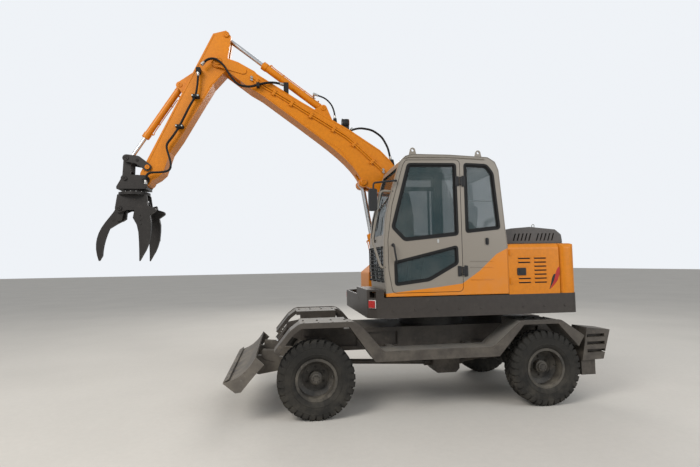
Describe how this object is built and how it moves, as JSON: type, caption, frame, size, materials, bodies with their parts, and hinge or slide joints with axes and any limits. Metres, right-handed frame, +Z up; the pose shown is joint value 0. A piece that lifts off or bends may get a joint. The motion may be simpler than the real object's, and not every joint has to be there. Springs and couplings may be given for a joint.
{
  "type": "wheeled excavator",
  "caption": "Wheeled excavator with a raised cranked boom, hooked arm and rotating grapple, dozer blade, side decks and a cab beside the boom.",
  "frame": {"origin": "on the ground at the middle of the machine's bounding box, blade, boom and grapple included", "axes": "+Z up; the front, with the blade and grapple, points to -X; the cab is on the -Y side"},
  "size_m": [6.2073, 2.06, 4.782],
  "materials": {
    "amber_paint": "semi-gloss machine paint, slightly worn",
    "grey_paint": "satin paint on the cab",
    "frame_paint": "satin dark grey-brown paint on the chassis, skirt and counterweight",
    "black_paint": "satin black paint, dusty",
    "tyre_rubber": "dusty tyre rubber",
    "rod_chrome": "polished cylinder rods",
    "pane": "clear safety glass",
    "seat_fabric": "dark woven seat cover",
    "black_plastic": "matt black plastic",
    "lamp_red": "red lamp lens"
  },
  "bodies": {
    "chassis": {"main_frame": "frame_paint", "side_decks": "frame_paint", "rear_steps": "frame_paint", "front_axle": "black_paint", "rear_axle": "black_paint", "drive_line": "black_paint", "steering_cylinder": "black_paint", "slew_ring": "black_paint"},
    "left_steer": {"left_knuckle": "black_paint"},
    "right_steer": {"right_knuckle": "black_paint"},
    "track_rod": {"steering_rod": "rod_chrome"},
    "wheel_front_left": {"front_left_rim": "black_paint", "front_left_tyre": "tyre_rubber"},
    "wheel_front_right": {"front_right_rim": "black_paint", "front_right_tyre": "tyre_rubber"},
    "wheel_rear_left": {"rear_left_rim": "black_paint", "rear_left_tyre": "tyre_rubber"},
    "wheel_rear_right": {"rear_right_rim": "black_paint", "rear_right_tyre": "tyre_rubber"},
    "dozer_blade": {"blade": "frame_paint"},
    "blade_cylinders": {"blade_barrels": "frame_paint"},
    "blade_pistons": {"blade_rods": "rod_chrome"},
    "upper": {"upper_frame": "frame_paint", "skirt": "frame_paint", "counterweight": "frame_paint", "left_side_panel": "amber_paint", "right_side_panel": "amber_paint", "tank_cover": "amber_paint", "bulkhead": "frame_paint", "engine_hood": "black_paint", "engine_block": "black_paint", "cab_shell": "grey_paint", "cab_glass": "pane", "seat_cushion": "seat_fabric", "seat_back": "seat_fabric", "cab_controls": "black_plastic", "mirror": "black_plastic", "handrail": "black_paint", "marker_lamps": "lamp_red"},
    "door": {"cab_door": "grey_paint", "door_glass": "pane"},
    "boom_body": {"boom": "amber_paint", "boom_pipes": "black_paint", "boom_hoses": "black_paint"},
    "lift_cylinder": {"lift_barrel": "amber_paint"},
    "lift_piston": {"lift_rod": "rod_chrome"},
    "arm_body": {"arm": "amber_paint", "arm_hoses": "black_paint"},
    "arm_cylinder": {"arm_barrel": "amber_paint"},
    "arm_piston": {"arm_rod": "rod_chrome"},
    "tool_cylinder": {"tool_barrel": "amber_paint"},
    "tool_piston": {"tool_rod": "rod_chrome"},
    "rocker_body": {"rocker": "black_paint"},
    "head": {"tool_head": "black_paint"},
    "link_body": {"link": "black_paint"},
    "grapple": {"grapple_body": "black_paint"},
    "jaw_left": {"left_jaw": "black_paint"},
    "jaw_right": {"right_jaw": "black_paint"},
    "jaw_cylinder": {"jaw_barrel": "black_paint"},
    "jaw_piston": {"jaw_rod": "rod_chrome"}
  },
  "joints": [
    {"name": "steer_left", "type": "hinge", "parent": "chassis", "child": "left_steer", "pos_m": [-0.44, -0.72, 0.43], "axis": [0, 0, 1], "range_deg": [-28, 28]},
    {"name": "steer_right", "type": "hinge", "parent": "chassis", "child": "right_steer", "pos_m": [-0.44, 0.72, 0.43], "axis": [0, 0, 1], "range_deg": [-28.1, 28.1]},
    {"name": "track_rod_slide", "type": "slide", "parent": "chassis", "child": "track_rod", "axis": [0, 1, 0], "range_m": [-0.073, 0.073]},
    {"name": "wheel_front_left_spin", "type": "hinge", "parent": "left_steer", "child": "wheel_front_left", "pos_m": [-0.44, -0.875, 0.43], "axis": [0, 1, 0], "continuous": true},
    {"name": "wheel_front_right_spin", "type": "hinge", "parent": "right_steer", "child": "wheel_front_right", "pos_m": [-0.44, 0.875, 0.43], "axis": [0, 1, 0], "continuous": true},
    {"name": "wheel_rear_left_spin", "type": "hinge", "parent": "chassis", "child": "wheel_rear_left", "pos_m": [2.24, -0.875, 0.43], "axis": [0, 1, 0], "continuous": true},
    {"name": "wheel_rear_right_spin", "type": "hinge", "parent": "chassis", "child": "wheel_rear_right", "pos_m": [2.24, 0.875, 0.43], "axis": [0, 1, 0], "continuous": true},
    {"name": "blade_lift", "type": "hinge", "parent": "chassis", "child": "dozer_blade", "pos_m": [-0.6, 0, 0.52], "axis": [0, -1, 0], "range_deg": [0, 34]},
    {"name": "blade_cylinder_swing", "type": "hinge", "parent": "chassis", "child": "blade_cylinders", "pos_m": [-0.714, 0, 0.874], "axis": [0, -1, 0], "range_deg": [0, 12.17]},
    {"name": "blade_piston_slide", "type": "slide", "parent": "blade_cylinders", "child": "blade_pistons", "axis": [-0.5974, 0, -0.802], "range_m": [0, 0.17]},
    {"name": "slew", "type": "hinge", "parent": "chassis", "child": "upper", "pos_m": [1.16, 0, 1], "axis": [0, 0, 1], "continuous": true},
    {"name": "cab_door_hinge", "type": "hinge", "parent": "upper", "child": "door", "pos_m": [1.257, -1.001, 1.582], "axis": [0, 0, 1], "range_deg": [0, 95]},
    {"name": "boom_lift", "type": "hinge", "parent": "upper", "child": "boom_body", "pos_m": [0.9, 0.12, 1.6], "axis": [0, 1, 0], "range_deg": [-60, 24]},
    {"name": "lift_cylinder_swing", "type": "hinge", "parent": "upper", "child": "lift_cylinder", "pos_m": [0.535, 0.12, 1.3], "axis": [0, 1, 0], "range_deg": [-55.47, 22.22]},
    {"name": "lift_piston_slide", "type": "slide", "parent": "lift_cylinder", "child": "lift_piston", "axis": [-0.1652, 0, 0.9863], "range_m": [-0.456, 0.183]},
    {"name": "arm_crowd", "type": "hinge", "parent": "boom_body", "child": "arm_body", "pos_m": [-1.615, 0.12, 4.35], "axis": [0, -1, 0], "range_deg": [-52, 40]},
    {"name": "arm_cylinder_swing", "type": "hinge", "parent": "boom_body", "child": "arm_cylinder", "pos_m": [-0.233, 0.12, 3.793], "axis": [0, -1, 0], "range_deg": [-3.08, 2.38]},
    {"name": "arm_piston_slide", "type": "slide", "parent": "arm_cylinder", "child": "arm_piston", "axis": [-0.8066, 0, 0.591], "range_m": [-0.321, 0.247]},
    {"name": "tool_curl", "type": "hinge", "parent": "arm_body", "child": "head", "pos_m": [-2.5, 0.12, 2.785], "axis": [0, -1, 0], "range_deg": [-20, 60]},
    {"name": "rocker_swing", "type": "hinge", "parent": "arm_body", "child": "rocker_body", "pos_m": [-2.47, 0.12, 2.945], "axis": [0, -1, 0], "range_deg": [-14.66, 43.87]},
    {"name": "link_swing", "type": "hinge", "parent": "head", "child": "link_body", "pos_m": [-2.735, 0.12, 2.8], "axis": [0, -1, 0], "range_deg": [-37.51, 12.54]},
    {"name": "tool_cylinder_swing", "type": "hinge", "parent": "arm_body", "child": "tool_cylinder", "pos_m": [-2.1, 0.12, 4.045], "axis": [0, -1, 0], "range_deg": [-1.23, 3.58]},
    {"name": "tool_piston_slide", "type": "slide", "parent": "tool_cylinder", "child": "tool_piston", "axis": [-0.5357, 0, -0.8444], "range_m": [-0.066, 0.194]},
    {"name": "rotator", "type": "hinge", "parent": "head", "child": "grapple", "pos_m": [-2.66, 0.12, 2.6], "axis": [0, 0, 1], "continuous": true},
    {"name": "jaw_close", "type": "hinge", "parent": "grapple", "child": "jaw_left", "pos_m": [-2.805, 0.12, 2.43], "axis": [0, -1, 0], "range_deg": [-20, 24]},
    {"name": "jaw_right_close", "type": "hinge", "parent": "grapple", "child": "jaw_right", "pos_m": [-2.515, 0.12, 2.43], "axis": [0, -1, 0], "range_deg": [-24.05, 20.05]},
    {"name": "jaw_cylinder_swing", "type": "hinge", "parent": "jaw_left", "child": "jaw_cylinder", "pos_m": [-2.805, 0.12, 2.52], "axis": [0, -1, 0], "range_deg": [-24.05, 20.05]},
    {"name": "jaw_piston_slide", "type": "slide", "parent": "jaw_cylinder", "child": "jaw_piston", "axis": [1, 0, 0], "range_m": [-0.064, 0.077]}
  ],
  "couplings": [
    {"joint": "steer_right", "follows": "steer_left", "ratio": 1},
    {"joint": "track_rod_slide", "follows": "steer_left", "m_per_rad": 0.147},
    {"joint": "blade_cylinder_swing", "follows": "blade_lift", "ratio": 0.3566},
    {"joint": "blade_piston_slide", "follows": "blade_lift", "m_per_rad": 0.2836},
    {"joint": "lift_cylinder_swing", "follows": "boom_lift", "ratio": 0.9237},
    {"joint": "lift_piston_slide", "follows": "boom_lift", "m_per_rad": 0.4343},
    {"joint": "arm_cylinder_swing", "follows": "arm_crowd", "ratio": 0.0583},
    {"joint": "arm_piston_slide", "follows": "arm_crowd", "m_per_rad": 0.3519},
    {"joint": "rocker_swing", "follows": "tool_curl", "ratio": 0.7303},
    {"joint": "link_swing", "follows": "tool_curl", "ratio": -0.6243},
    {"joint": "tool_cylinder_swing", "follows": "tool_curl", "ratio": 0.0588},
    {"joint": "tool_piston_slide", "follows": "tool_curl", "m_per_rad": 0.1834},
    {"joint": "jaw_right_close", "follows": "jaw_close", "ratio": -1},
    {"joint": "jaw_cylinder_swing", "follows": "jaw_close", "ratio": -1},
    {"joint": "jaw_piston_slide", "follows": "jaw_close", "m_per_rad": 0.18}
  ]
}
